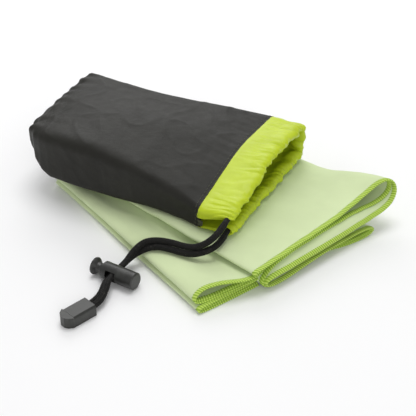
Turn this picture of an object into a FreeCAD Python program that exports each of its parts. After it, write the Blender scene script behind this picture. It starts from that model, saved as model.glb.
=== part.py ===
import FreeCAD, Part
import math
import os

import Sketcher
from FreeCAD import Placement, Rotation, Vector

# A quick-dry microfibre towel, folded into two fanned stacks of pleats, with its
# drawstring pouch lying on top of it.  Millimetres, +Z up, +X from the pouch's closed
# end to its mouth.  The origin is under the middle of the towel and pouch together, on
# the surface they lie on.

DIMENSIONS = {
    # where the assembly's layout sits about the origin
    "layout_shift_x": 5.7,
    "layout_shift_y": 4.0,
    # towel: a cloth folded in half, then pleated, fanned into a lower and an upper stack
    "towel_depth": 156,
    "base_trim": 0.5,
    "lower_corner_x": 43,
    "lower_corner_y": -91,
    "lower_fold_angle": 153.8,
    "lower_front_angle": 65,
    "upper_corner_x": 62,
    "upper_corner_y": -63,
    "upper_fold_angle": 163,
    "upper_front_angle": 69.5,
    "overlock_diameter": 1.6,
    # pouch: its closed end, and the height of the stack it lies on
    "pouch_end_x": -112,
    "pouch_middle_y": 5,
    "pouch_base_z": 16.5,
    "body_length": 129,
    "body_wall": 0.8,
    "collar_length": 21,
    "collar_wall": 5,
    "slit_depth": 6,
    "tunnel_setback": 3.5,
    "tunnel_clearance": 0.1,
    "seam_thickness": 2,
    "stitch_diameter": 0.6,
    # drawcord
    "cord_diameter": 3.4,
    "cord_exit_across": -51,
    # barrel cord lock, placed by the mouth of its barrel
    "lock_mouth_x": -18.18,
    "lock_mouth_y": -87.55,
    "lock_axis_z": 5.2,
    "lock_angle": -4,
    "barrel_diameter": 10,
    "barrel_length": 21,
    "bore_diameter": 8.6,
    "bore_depth": 19.8,
    "cord_hole_place": 6.4,
    "cord_hole_size": 6.4,
    "plunger_diameter": 8.4,
    "plunger_stroke": 2.4,
    "plunger_foot": 2.2,
    "head_diameter": 10.2,
    "neck_diameter": 5.6,
    "spring_wire": 0.8,
    "spring_radius": 3.3,
    "spring_pitch": 1.9,
    # moulded cord end, placed by the middle of its entry face
    "cord_end_x": -9.2,
    "cord_end_y": -116,
    "cord_end_z": 0.2,
    "cord_end_angle": -108,
    "cord_end_length": 18.5,
    "cord_end_width": 10.4,
    "cord_end_height": 6.5,
    "cord_end_floor": 1,
    "cavity_width": 7.6,
    "cavity_length": 9,
    "entry_length": 3.2,
    "entry_width": 7.1,
    "lid_thickness": 1.3,
    "lid_length": 14.4,
    "lid_gap": 0.1,
}

# Corner outlines of the pouch across its length: near bottom, far bottom, far top, crown
# and near top, as (across, up), with the radius of each corner.  The closed end is a flat
# seam up at the top face, the middle is boxy, and the mouth is a low open arch.
BODY_STATIONS = (
    (0, ((-32, 21), (40, 27), (40, 30), (4, 27.6), (-32, 24)), (1.2, 1.2, 1.2, 20, 1.2)),
    (7, ((-38, 8), (42, 10), (42, 31), (4, 31.5), (-38, 28)), (6, 7, 4, 40, 4)),
    (20, ((-41, 0.8), (43, 0.8), (42.5, 31), (4, 32), (-41, 29)), (6, 8, 7, 40, 7)),
    (60, ((-42, 0), (44, 0), (43.5, 30), (4, 31), (-42, 28.5)), (5, 8, 8, 40, 8)),
    (100, ((-44, 0), (49, 0), (49, 28), (5, 29.5), (-44, 21)), (4, 8, 9, 40, 6)),
    (129, ((-47.5, 0), (54.5, 0), (54.5, 25.5), (5, 26.5), (-47.5, 13)), (1.5, 10, 10, 40, 1.5)),
)

# Front, middle and back outlines of the two stacks, as (along the front, up).  The upper
# stack's last pleat stands open as a tall loop at its front right corner.
LOWER_OUTLINES = (
    (0, ((0, 0), (100, 0), (100, 10), (14, 10), (0, 6.5)), 3),
    (1, ((0, 0), (98, 0), (98, 10), (14, 10), (0, 6.5)), 3),
)
UPPER_OUTLINES = (
    (0, ((0, 0), (78, 0), (88, 8), (106, 8), (115, 17), (111, 26), (60, 16.2), (0, 15)), 3),
    (0.33, ((0, 0), (78, 0), (96, 1), (108, 4), (112, 9), (109, 16), (60, 16.2), (0, 15)), 3),
    (1, ((0, 0), (78, 0), (94, 1), (104, 4), (108, 8), (105, 15), (60, 14.6), (0, 14)), 3),
)

# The two free tails of the drawcord, in the layout's own coordinates: out of the upper
# and the lower lip, over the lower stack, down to the surface, through the lock and into
# the cord end.
UPPER_TAIL = (
    (34.5, -46.0, 27.0), (34.3, -53.2, 24.9), (30.2, -58.9, 20.9), (23.8, -60.6, 17.0),
    (16.3, -59.7, 15.0), (8.3, -59.5, 14.8), (0.0, -61.2, 14.7), (-6.6, -64.9, 13.6),
    (-9.8, -71.8, 9.8), (-10.2, -79.3, 6.6), (-11.1, -94.9, 6.4), (-8.2, -102.3, 5.4),
    (-6.0, -111.8, 3.7), (-8.8, -120.3, 3.6),
)
LOWER_TAIL = (
    (34.5, -46.0, 19.0), (35.0, -52.6, 18.6), (31.8, -59.2, 16.9), (24.7, -62.7, 14.1),
    (16.5, -62.3, 12.3), (8.5, -62.1, 12.1), (1.0, -63.4, 12.1), (-5.0, -66.1, 10.2),
    (-11.0, -70.6, 6.0), (-12.6, -78.7, 4.1), (-13.6, -95.0, 3.9), (-10.6, -102.7, 2.5),
    (-9.6, -111.6, 2.9), (-12.0, -119.3, 2.9),
)

doc = FreeCAD.newDocument("QuickDryTowel")


def make_sheet():
    """The driving dimensions, one aliased cell each."""
    cells = doc.addObject("Spreadsheet::Sheet", "Dimensions")
    for row, (alias, value) in enumerate(DIMENSIONS.items(), 1):
        cells.set(f"A{row}", alias)
        cells.set(f"B{row}", str(value))
        cells.setAlias(f"B{row}", alias)
    doc.recompute()
    return cells


sheet = make_sheet()


def size(alias):
    """A driving dimension's value."""
    return float(sheet.get(alias))


def layout_point(x, y, z=0):
    """A point of the layout, moved into the part's frame."""
    return Vector(x + size("layout_shift_x"), y + size("layout_shift_y"), z)


def heading(angle):
    """A level unit vector at an angle from +X, in degrees."""
    return Vector(math.cos(math.radians(angle)), math.sin(math.radians(angle)), 0)


def level_place(point, angle=0):
    """A placement at a point, turned about +Z."""
    return Placement(point, Rotation(Vector(0, 0, 1), angle))


def pouch_place():
    """The pouch's own frame: +X to the mouth, +Y across, base at z 0."""
    return level_place(
        layout_point(size("pouch_end_x"), size("pouch_middle_y"), size("pouch_base_z"))
    )


# ---- wires with tangent arcs ----


def corner_arc(before, corner, after, radius):
    """Start, middle and end of the arc that rounds one corner."""
    arriving = (corner - before).normalize()
    leaving = (after - corner).normalize()
    half_turn = arriving.getAngle(leaving) / 2
    setback = radius * math.tan(half_turn)
    inward = (leaving - arriving).normalize()
    middle = corner + inward * (radius / math.cos(half_turn) - radius)
    return corner - arriving * setback, middle, corner + leaving * setback


def joined(arcs, closed):
    """Straight runs between the arcs, all as one wire."""
    edges = []
    for index, arc in enumerate(arcs):
        if len(arc) == 3:
            edges.append(Part.Arc(*arc).toShape())
        if closed or index < len(arcs) - 1:
            start, end = arc[-1], arcs[(index + 1) % len(arcs)][0]
            if (end - start).Length > 1e-4:
                edges.append(Part.LineSegment(start, end).toShape())
    return Part.Wire(edges)


def rounded_loop(points, radii):
    """A closed wire through the points with every corner rounded."""
    count = len(points)
    arcs = [
        corner_arc(points[i - 1], points[i], points[(i + 1) % count], radii[i])
        for i in range(count)
    ]
    return joined(arcs, closed=True)


def rounded_path(points, radii):
    """An open wire whose inner points are rounded."""
    arcs = [(points[0],)]
    for i in range(1, len(points) - 1):
        arcs.append(corner_arc(points[i - 1], points[i], points[i + 1], radii[i - 1]))
    arcs.append((points[-1],))
    return joined(arcs, closed=False)


def cord_radii(points):
    """Each arc as large as its two runs allow."""
    radii = []
    for before, corner, after in zip(points, points[1:], points[2:]):
        arriving, leaving = corner - before, after - corner
        shorter = min(arriving.Length, leaving.Length)
        radii.append(0.45 * shorter / math.tan(arriving.getAngle(leaving) / 2))
    return radii


def tube(path, diameter):
    """A round solid along a wire."""
    start = path.OrderedEdges[0]
    if start.firstVertex(True).Point.distanceToPoint(path.OrderedVertexes[0].Point) < 1e-6:
        direction = start.tangentAt(start.FirstParameter)
    else:
        direction = start.tangentAt(start.LastParameter) * -1
    circle = Part.Circle(path.OrderedVertexes[0].Point, direction, diameter / 2)
    return path.makePipeShell([Part.Wire(circle.toShape())], True, True)


def add_shape(name, shape, placement=None):
    """A soft sub-part whose shape is set directly."""
    feature = doc.addObject("Part::Feature", name)
    feature.Label = name
    feature.Shape = shape
    if placement:
        feature.Placement = placement
    return feature


# ---- towel ----


def stack_frame(prefix, share):
    """Where a stack's outline stands at a share of its depth, and which way it runs."""
    corner = layout_point(size(prefix + "_corner_x"), size(prefix + "_corner_y"))
    back = heading(size(prefix + "_fold_angle")) * size("towel_depth")
    return corner + back * share, heading(size(prefix + "_front_angle"))


def stack_outline(prefix, share, profile, radius, inset=0.0):
    """One closed outline of a stack, standing across its pleats."""
    base, along = stack_frame(prefix, share)
    middle = sum(up for _, up in profile) / len(profile)
    halfway = sum(run for run, _ in profile) / len(profile)
    points = []
    for run, up in profile:
        run_in = run + (inset if run < halfway else -inset)
        up_in = up + (inset if up < middle else -inset)
        points.append(base + along * run_in + Vector(0, 0, up_in))
    return rounded_loop(points, [radius - inset] * len(points))


def sunk(profile):
    """A stack's profile with its base a little under the surface it lies on."""
    return [(run, up if up > 0 else -size("base_trim")) for run, up in profile]


def make_towel():
    """Both stacks of pleats as one closed solid, trimmed to a flat underside."""
    stacks = []
    for prefix, outlines in (("lower", LOWER_OUTLINES), ("upper", UPPER_OUTLINES)):
        wires = [
            stack_outline(prefix, share, sunk(profile), radius)
            for share, profile, radius in outlines
        ]
        stacks.append(Part.makeLoft(wires, True, True))
    both = stacks[0].fuse(stacks[1])
    far = 2 * size("towel_depth")
    under = Part.makeBox(2 * far, 2 * far, far, Vector(-far, -far, -far))
    return add_shape("towel", both.cut(under).removeSplitter())


def make_overlock():
    """The overlocked hem along both stacks' front outlines."""
    diameter = size("overlock_diameter")
    hems = []
    for prefix, outlines in (("lower", LOWER_OUTLINES), ("upper", UPPER_OUTLINES)):
        share, profile, radius = outlines[0]
        hem = stack_outline(prefix, share, profile, radius, inset=diameter / 2)
        hems.append(tube(hem, diameter))
    return add_shape("towel_overlock_hem", Part.makeCompound(hems))


# ---- pouch ----


def station_at(place):
    """Corners and radii of the pouch's outline at a distance from its closed end."""
    for (start, low, low_radii), (end, high, high_radii) in zip(
        BODY_STATIONS, BODY_STATIONS[1:]
    ):
        if start <= place <= end:
            share = (place - start) / (end - start)
            break
    corners = [
        (a[0] + (b[0] - a[0]) * share, a[1] + (b[1] - a[1]) * share)
        for a, b in zip(low, high)
    ]
    radii = [a + (b - a) * share for a, b in zip(low_radii, high_radii)]
    return corners, radii


def inset_corners(corners, wall):
    """The five corners moved inwards by a wall: two at the base, two sides, the crown."""
    moves = ((1, 1), (-1, 1), (-1, -1), (0, -1), (1, -1))
    return [
        (across + side * wall, up + rise * wall)
        for (across, up), (side, rise) in zip(corners, moves)
    ]


def pouch_outline(place, wall=0.0, at=None):
    """A closed outline of the pouch, or of its inside when a wall is given."""
    corners, radii = station_at(place)
    across = at if at is not None else place
    points = [Vector(across, y, z) for y, z in inset_corners(corners, wall)]
    return rounded_loop(points, [max(radius - wall, 1) for radius in radii])


def make_pouch_body():
    """The nylon bag: closed at its seam, open at the collar."""
    wall = size("body_wall")
    length = size("body_length")
    places = [station[0] for station in BODY_STATIONS]
    outside = Part.makeLoft([pouch_outline(place) for place in places], True, True)
    hollow = [pouch_outline(4, wall)]
    hollow += [pouch_outline(place, wall) for place in places[1:]]
    hollow.append(pouch_outline(length, wall, at=length + 1))
    inside = Part.makeLoft(hollow, True, True)
    return add_shape("pouch_body", outside.cut(inside), pouch_place())


def collar_ring():
    """The whole gathered collar before it is parted into its two lips."""
    outer = Part.Face(pouch_outline(size("body_length")))
    inner = Part.Face(pouch_outline(size("body_length"), size("collar_wall")))
    return outer.cut(inner).extrude(Vector(size("collar_length"), 0, 0))


def tunnel_path():
    """The drawcord's way round inside the collar, from lip end to lip end."""
    place = size("body_length") + size("collar_length") - size("tunnel_setback")
    half = size("collar_wall") / 2
    corners, _ = station_at(size("body_length"))
    near_bottom, far_bottom, far_top, crown, near_top = corners
    route = [
        (size("cord_exit_across"), near_top[1] - half),
        (crown[0], crown[1] - half),
        (far_top[0] - half, far_top[1] - half),
        (far_bottom[0] - half, far_bottom[1] + half),
        (size("cord_exit_across"), near_bottom[1] + half),
    ]
    points = [Vector(place, y, z) for y, z in route]
    return rounded_path(points, [40, 7.5, 7.5])


def slit_box():
    """The gap between the lips at the near side, where the drawcord comes out."""
    wall = size("collar_wall")
    corners, _ = station_at(size("body_length"))
    low, high = corners[0], corners[4]
    tall = high[1] - low[1] - 2 * wall
    corner = Vector(size("body_length") - 1, low[0] - 1, low[1] + wall)
    return Part.makeBox(size("collar_length") + 2, size("slit_depth") + 1, tall, corner)


def upper_half_space():
    """A block over the plane that parts the lips: low at the slit, higher at the far fold."""
    corners, _ = station_at(size("body_length"))
    low = (corners[0][1] + corners[4][1]) / 2
    high = (corners[1][1] + corners[2][1]) / 2
    near, far, top = corners[0][0] - 5, corners[1][0] + 5, 40
    start = size("body_length") - 1
    outline = [(near, low), (far, high), (far, top), (near, top), (near, low)]
    face = Part.Face(Part.makePolygon([Vector(start, y, z) for y, z in outline]))
    return face.extrude(Vector(size("collar_length") + 2, 0, 0))


def make_collar():
    """The upper and lower lips, each with its half of the drawcord tunnel."""
    bore = size("cord_diameter") + 2 * size("tunnel_clearance")
    ring = collar_ring().cut(slit_box()).cut(tube(tunnel_path(), bore))
    above = upper_half_space()
    add_shape("collar_upper_lip", ring.common(above), pouch_place())
    add_shape("collar_lower_lip", ring.cut(above), pouch_place())


def make_tunnel_run():
    """The hidden middle of the drawcord, round the inside of the collar."""
    path = tunnel_path()
    run = tube(path, size("cord_diameter"))
    report_tube("drawcord_tunnel_run", run, path)
    add_shape("drawcord_tunnel_run", run, pouch_place())


def make_end_seam():
    """The turned seam that shuts the closed end, a bar on its thin end face."""
    corners, _ = station_at(0)
    near, far = corners[0], corners[1]
    lean = math.degrees(math.atan2(far[1] - near[1], far[0] - near[0]))
    bar = doc.addObject("Part::Box", "pouch_end_seam")
    bar.Label = "pouch_end_seam"
    bar.setExpression("Length", "Dimensions.seam_thickness")
    bar.setExpression("Height", "Dimensions.seam_thickness")
    bar.Width = far[0] - near[0] - 3
    low = Vector(-size("seam_thickness"), near[0] + 1.5, near[1] + 0.4)
    bar.Placement = pouch_place() * Placement(low, Rotation(Vector(1, 0, 0), lean))


def make_side_seam():
    """The seam allowance that runs inside the near wall, from the closed end to the slit."""
    wall = size("body_wall")
    wires = []
    for place in (24, 60, 100, size("body_length")):
        corners, _ = station_at(place)
        low, high = corners[0], corners[4]
        middle = (low[1] + high[1]) / 2
        across = low[0] + wall * 0.9
        box = ((0, -1.6), (1.2, -1.2), (1.2, 1.2), (0, 1.6), (0, -1.6))
        points = [Vector(place, across + y, middle + z) for y, z in box]
        wires.append(Part.makePolygon(points))
    add_shape("pouch_side_seam", Part.makeLoft(wires, True, True), pouch_place())


def make_collar_stitch():
    """Two rings of topstitching round the bag, just behind the collar."""
    diameter = size("stitch_diameter")
    rings = [
        tube(pouch_outline(size("body_length") - setback), diameter)
        for setback in (1.0, 2.6)
    ]
    add_shape("collar_topstitch", Part.makeCompound(rings), pouch_place())


def make_bartack():
    """The bar of stitches that closes the root of the slit."""
    wall = size("collar_wall")
    corners, _ = station_at(size("body_length"))
    tack = doc.addObject("Part::Box", "slit_bartack")
    tack.Label = "slit_bartack"
    tack.Length = 2.4
    tack.Width = 4.6
    tack.Height = corners[4][1] - corners[0][1] - 2 * wall
    low = Vector(size("body_length"), corners[0][0] - 0.8, corners[0][1] + wall)
    tack.Placement = pouch_place() * Placement(low, Rotation())


# ---- drawcord tails ----


def report_tube(name, solid, path):
    """Prints how a cord's volume compares with its section times its length."""
    section = math.pi * size("cord_diameter") ** 2 / 4
    share = solid.Volume / (section * path.Length)
    print(f"{name}: length {path.Length:.1f} mm, volume share {share:.4f}")


def make_tail(name, route):
    """One free tail of the drawcord, from its lip to the knot in the cord end."""
    points = [layout_point(*point) for point in route]
    radii = cord_radii(points)
    path = rounded_path(points, radii)
    solid = tube(path, size("cord_diameter"))
    report_tube(name, solid, path)
    print("  radii", " ".join(f"{radius:.0f}" for radius in radii))
    add_shape(name, solid)


# ---- sketch helpers ----


def origin_plane(body, role):
    """One of a body's own origin planes."""
    return next(plane for plane in body.Origin.OriginFeatures if plane.Role == role)


def new_body(name, placement):
    """A PartDesign body that is one sub-part."""
    body = doc.addObject("PartDesign::Body", name)
    body.Label = name
    body.Placement = placement
    return body


def new_sketch(body, name, role):
    """A sketch on one of the body's origin planes."""
    sketch = body.newObject("Sketcher::SketchObject", name)
    sketch.AttachmentSupport = [(origin_plane(body, role), "")]
    sketch.MapMode = "FlatFace"
    return sketch


def add_polygon(sketch, points):
    """Closed straight edges through flat points, joined at their ends."""
    count = len(points)
    for index in range(count):
        x0, y0 = points[index]
        x1, y1 = points[(index + 1) % count]
        sketch.addGeometry(Part.LineSegment(Vector(x0, y0, 0), Vector(x1, y1, 0)))
    for index in range(count):
        sketch.addConstraint(
            Sketcher.Constraint("Coincident", index, 2, (index + 1) % count, 1)
        )


def add_circle(sketch, alias):
    """A circle about the sketch's origin whose diameter is bound to the sheet."""
    sketch.addGeometry(Part.Circle(Vector(0, 0, 0), Vector(0, 0, 1), size(alias) / 2))
    sketch.addConstraint(Sketcher.Constraint("Coincident", 0, 3, -1, 1))
    sketch.addConstraint(Sketcher.Constraint("Diameter", 0, size(alias)))
    sketch.setExpression("Constraints[1]", f"Dimensions.{alias}")


def checked_cut(body, feature, before):
    """Turns a cutting feature round if it has removed nothing."""
    doc.recompute()
    if body.Shape.Volume > before - 1e-6:
        feature.Reversed = not feature.Reversed
        doc.recompute()
    if body.Shape.Volume > before - 1e-6:
        raise RuntimeError(f"{feature.Label} cuts nothing")


# ---- cord lock ----


def lock_place():
    """The lock's own frame: its axis along +X, from the barrel's mouth inwards."""
    point = layout_point(size("lock_mouth_x"), size("lock_mouth_y"), size("lock_axis_z"))
    return level_place(point, size("lock_angle"))


def cut_cord_hole(body, low, high, tall):
    """A square hole right through the body, across its axis, with rounded corners."""
    sketch = new_sketch(body, body.Name + "_cord_hole_sketch", "XZ_Plane")
    half = tall / 2
    add_polygon(sketch, [(low, -half), (high, -half), (high, half), (low, half)])
    before = body.Shape.Volume
    hole = body.newObject("PartDesign::Pocket", body.Name + "_cord_hole")
    hole.Profile = sketch
    hole.Type = "ThroughAll"
    hole.Midplane = True
    checked_cut(body, hole, before)


def make_barrel():
    """The lock's barrel: shut at one end, bored for the plunger, with the cord hole."""
    body = new_body("lock_barrel", lock_place())
    outline = new_sketch(body, "barrel_outline", "YZ_Plane")
    add_circle(outline, "barrel_diameter")
    pad = body.newObject("PartDesign::Pad", "barrel_pad")
    pad.Profile = outline
    pad.setExpression("Length", "Dimensions.barrel_length")
    doc.recompute()
    bore_outline = new_sketch(body, "bore_outline", "YZ_Plane")
    add_circle(bore_outline, "bore_diameter")
    before = body.Shape.Volume
    bore = body.newObject("PartDesign::Pocket", "barrel_bore")
    bore.Profile = bore_outline
    bore.setExpression("Length", "Dimensions.bore_depth")
    checked_cut(body, bore, before)
    middle = size("cord_hole_place")
    half = size("cord_hole_size") / 2
    cut_cord_hole(body, middle - half, middle + half, size("cord_hole_size"))
    soften_barrel(body)


def soften_barrel(body):
    """A small chamfer round the barrel's shut end."""
    far = size("barrel_length")
    drilled = body.Tip
    names = []
    for index, edge in enumerate(drilled.Shape.Edges, 1):
        if isinstance(edge.Curve, Part.Circle) and abs(edge.Curve.Center.x - far) < 0.01:
            names.append(f"Edge{index}")
    chamfer = body.newObject("PartDesign::Chamfer", "barrel_chamfer")
    chamfer.Base = (drilled, names)
    chamfer.Size = 0.6
    body.Tip = chamfer
    doc.recompute()


def make_plunger():
    """The sprung button: flared head, neck, and a stem with a long cord hole."""
    body = new_body("lock_plunger", lock_place())
    stem = size("plunger_diameter") / 2
    neck = size("neck_diameter") / 2
    head = size("head_diameter") / 2
    half = size("cord_hole_size") / 2
    hole_end = size("cord_hole_place") + half
    hole_start = size("cord_hole_place") - half - size("plunger_stroke")
    foot = hole_end + size("plunger_foot")
    profile = [
        (-7.8, 0), (-7.8, head * 0.72), (-7.1, head * 0.96), (-6.3, head),
        (-5.6, head * 0.92), (-4.2, neck * 1.15), (-2.6, neck), (-1.0, neck * 1.1),
        (-0.8, stem), (foot, stem), (foot, 0),
    ]
    sketch = new_sketch(body, "plunger_profile", "XZ_Plane")
    add_polygon(sketch, profile)
    turned = body.newObject("PartDesign::Revolution", "plunger_turned")
    turned.Profile = sketch
    turned.ReferenceAxis = (sketch, ["H_Axis"])
    turned.Angle = 360
    doc.recompute()
    cut_cord_hole(body, hole_start, hole_end, size("cord_hole_size"))


def make_spring():
    """The coil spring between the plunger's foot and the bottom of the bore, in tangent arcs."""
    wire, radius = size("spring_wire"), size("spring_radius")
    foot = size("cord_hole_place") + size("cord_hole_size") / 2 + size("plunger_foot")
    margin = wire / 2 + 0.1
    tall = size("bore_depth") - foot - 2 * margin
    arcs_per_coil = 6
    corner = radius / math.cos(math.pi / arcs_per_coil)
    count = round(tall / size("spring_pitch") * arcs_per_coil)
    points = []
    for index in range(count + 1):
        turn = 2 * math.pi * index / arcs_per_coil
        along = foot + margin + tall * index / count
        points.append(Vector(along, corner * math.cos(turn), corner * math.sin(turn)))
    path = rounded_path(points, [radius * 0.95] * (count - 1))
    add_shape("lock_spring", tube(path, wire), lock_place())


# ---- cord end ----


def cord_end_place():
    """The cord end's own frame: +X from its entry face to its rounded tip."""
    point = layout_point(size("cord_end_x"), size("cord_end_y"), size("cord_end_z"))
    return level_place(point, size("cord_end_angle"))


def cord_end_outline(start, stop, tip):
    """Half-rounded plan of the cord end between two places along it."""
    half = size("cord_end_width") / 2
    if not tip:
        return [(start, -half), (stop, -half), (stop, half), (start, half)]
    shoulder = size("cord_end_length") - 3.6
    return [
        (start, -half), (max(start, shoulder), -half), (stop - 1.2, -half * 0.68),
        (stop, -half * 0.3), (stop, half * 0.3), (stop - 1.2, half * 0.68),
        (max(start, shoulder), half), (start, half),
    ]


def pad_of(body, name, points, low, tall):
    """A pad of a flat outline from one height up."""
    sketch = new_sketch(body, name + "_sketch", "XY_Plane")
    sketch.AttachmentOffset = Placement(Vector(0, 0, low), Rotation())
    add_polygon(sketch, points)
    pad = body.newObject("PartDesign::Pad", name)
    pad.Profile = sketch
    pad.Length = tall
    doc.recompute()
    return pad


def pocket_from(body, name, points, top, deep):
    """A pocket of a flat outline from one height down."""
    sketch = new_sketch(body, name + "_sketch", "XY_Plane")
    sketch.AttachmentOffset = Placement(Vector(0, 0, top), Rotation())
    add_polygon(sketch, points)
    before = body.Shape.Volume
    pocket = body.newObject("PartDesign::Pocket", name)
    pocket.Profile = sketch
    pocket.Length = deep
    checked_cut(body, pocket, before)


def make_cord_end_base():
    """The tray of the cord end, with its rounded tip standing to full height."""
    body = new_body("cord_end_base", cord_end_place())
    length = size("cord_end_length")
    rim = size("cord_end_height") - size("lid_thickness")
    deep = rim - size("cord_end_floor")
    tip_start = size("lid_length") + size("lid_gap")
    pad_of(body, "tray", cord_end_outline(0, length, True), 0, rim)
    tip = cord_end_outline(tip_start, length, True)
    tip = [point for index, point in enumerate(tip) if point not in tip[:index]]
    pad_of(body, "tip", tip, rim, size("lid_thickness"))
    half = size("cavity_width") / 2
    start = size("entry_length")
    end = start + size("cavity_length")
    cavity = [(start, -half), (end, -half), (end, half), (start, half)]
    pocket_from(body, "cavity", cavity, rim, deep)
    half = size("entry_width") / 2
    entry = [(-1, -half), (start + 0.5, -half), (start + 0.5, half), (-1, half)]
    pocket_from(body, "entry", entry, rim, deep)


def make_cord_end_lid():
    """The hinged lid over the tray, its long edges chamfered."""
    body = new_body("cord_end_lid", cord_end_place())
    low = size("cord_end_height") - size("lid_thickness") + size("lid_gap")
    tall = size("lid_thickness") - size("lid_gap")
    pad = pad_of(body, "lid", cord_end_outline(0, size("lid_length"), False), low, tall)
    names = []
    for index, edge in enumerate(pad.Shape.Edges, 1):
        box = edge.BoundBox
        if box.XLength > 5 and box.ZMin > low + tall / 2:
            names.append(f"Edge{index}")
    chamfer = body.newObject("PartDesign::Chamfer", "lid_chamfer")
    chamfer.Base = (pad, names)
    chamfer.Size = 0.9
    body.Tip = chamfer
    doc.recompute()


def make_knot():
    """The stopper knot shut inside the cord end, plain and rounded."""
    block = doc.addObject("Part::Box", "knot_block")
    block.Length = size("cavity_length") - 1.2
    block.Width = size("cavity_width") - 0.4
    deep = size("cord_end_height") - size("lid_thickness") - size("cord_end_floor")
    block.Height = deep - 0.3
    doc.recompute()
    knot = doc.addObject("Part::Fillet", "cord_end_knot")
    knot.Label = "cord_end_knot"
    knot.Base = block
    knot.Edges = [(index, 1.4, 1.4) for index in range(1, 13)]
    low = Vector(
        size("entry_length") + 0.6, 0.2 - size("cavity_width") / 2, size("cord_end_floor") + 0.15
    )
    knot.Placement = cord_end_place() * Placement(low, Rotation())


# ---- build, check and write ----

NODES = (
    "towel", "towel_overlock_hem",
    "pouch_body", "pouch_end_seam", "pouch_side_seam", "collar_upper_lip",
    "collar_lower_lip", "collar_topstitch", "slit_bartack",
    "drawcord_tunnel_run", "drawcord_upper_tail", "drawcord_lower_tail",
    "lock_barrel", "lock_plunger", "lock_spring",
    "cord_end_base", "cord_end_lid", "cord_end_knot",
)


def build():
    """Makes every sub-part."""
    make_towel()
    make_overlock()
    make_pouch_body()
    make_end_seam()
    make_side_seam()
    make_collar()
    make_collar_stitch()
    make_bartack()
    make_tunnel_run()
    make_tail("drawcord_upper_tail", UPPER_TAIL)
    make_tail("drawcord_lower_tail", LOWER_TAIL)
    make_barrel()
    make_plunger()
    make_spring()
    make_cord_end_base()
    make_cord_end_lid()
    make_knot()
    doc.recompute()


def check_and_write():
    """Stops on any failed object or shape, then writes one file for each sub-part."""
    for item in doc.Objects:
        if "Invalid" in item.State or "Error" in item.State:
            raise RuntimeError(f"{item.Label} failed: {item.State}")
    os.makedirs("parts", exist_ok=True)
    for name in NODES:
        shape = doc.getObjectsByLabel(name)[0].Shape
        if shape.isNull() or not shape.isValid() or shape.Volume <= 0:
            raise RuntimeError(f"{name} has no valid solid")
        shape.exportStep(f"parts/{name}.step")


build()
check_and_write()
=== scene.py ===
import math

import bmesh
import bpy
import numpy as np
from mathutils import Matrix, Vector, noise


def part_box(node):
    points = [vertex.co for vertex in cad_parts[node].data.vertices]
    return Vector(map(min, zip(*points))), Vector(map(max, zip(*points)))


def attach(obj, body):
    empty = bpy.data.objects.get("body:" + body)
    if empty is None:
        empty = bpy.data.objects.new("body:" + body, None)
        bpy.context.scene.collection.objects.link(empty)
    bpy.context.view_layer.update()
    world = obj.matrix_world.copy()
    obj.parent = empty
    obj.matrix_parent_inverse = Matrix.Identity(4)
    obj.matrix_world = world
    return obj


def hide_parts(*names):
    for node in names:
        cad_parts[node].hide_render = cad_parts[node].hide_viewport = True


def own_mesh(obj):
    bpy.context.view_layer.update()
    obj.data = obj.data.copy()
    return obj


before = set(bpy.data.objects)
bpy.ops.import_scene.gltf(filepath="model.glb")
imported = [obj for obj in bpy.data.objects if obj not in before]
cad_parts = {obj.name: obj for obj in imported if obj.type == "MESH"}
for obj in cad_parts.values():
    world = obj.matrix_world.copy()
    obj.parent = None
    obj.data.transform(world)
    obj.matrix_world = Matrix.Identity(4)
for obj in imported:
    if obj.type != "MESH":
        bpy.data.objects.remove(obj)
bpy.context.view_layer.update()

MM = 0.001
SHIFT = np.array([5.7, 4.0, 0.0])  # the layout's own origin, in millimetres in the row frame


def placed(points):
    """Points of the layout, in millimetres, as metres in the row frame."""
    return (np.asarray(points, float) + SHIFT) * MM


def link_object(name, data, material=None):
    """A new object in the scene, with its one material if it has one."""
    made = bpy.data.objects.new(name, data)
    bpy.context.scene.collection.objects.link(made)
    if material:
        data.materials.append(material)
    return made


# ---- camera ----

VIEW_AZIMUTH, VIEW_ELEVATION, VIEW_DISTANCE = 28.0, 34.0, 0.6
LENS, SENSOR_WIDTH = 84.1, 36


def add_camera():
    """The camera, looking at the layout's origin."""
    data = bpy.data.cameras.new("camera")
    data.lens = LENS
    data.sensor_width = SENSOR_WIDTH
    camera = link_object("camera", data)
    a, e = math.radians(VIEW_AZIMUTH), math.radians(VIEW_ELEVATION)
    back = Vector((math.sin(a) * math.cos(e), -math.cos(a) * math.cos(e), math.sin(e)))
    camera.location = Vector(placed((0, 0, 0))) + back * VIEW_DISTANCE
    camera.rotation_euler = (-back).to_track_quat("-Z", "Y").to_euler()
    bpy.context.scene.camera = camera


add_camera()

# ---- materials ----


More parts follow.
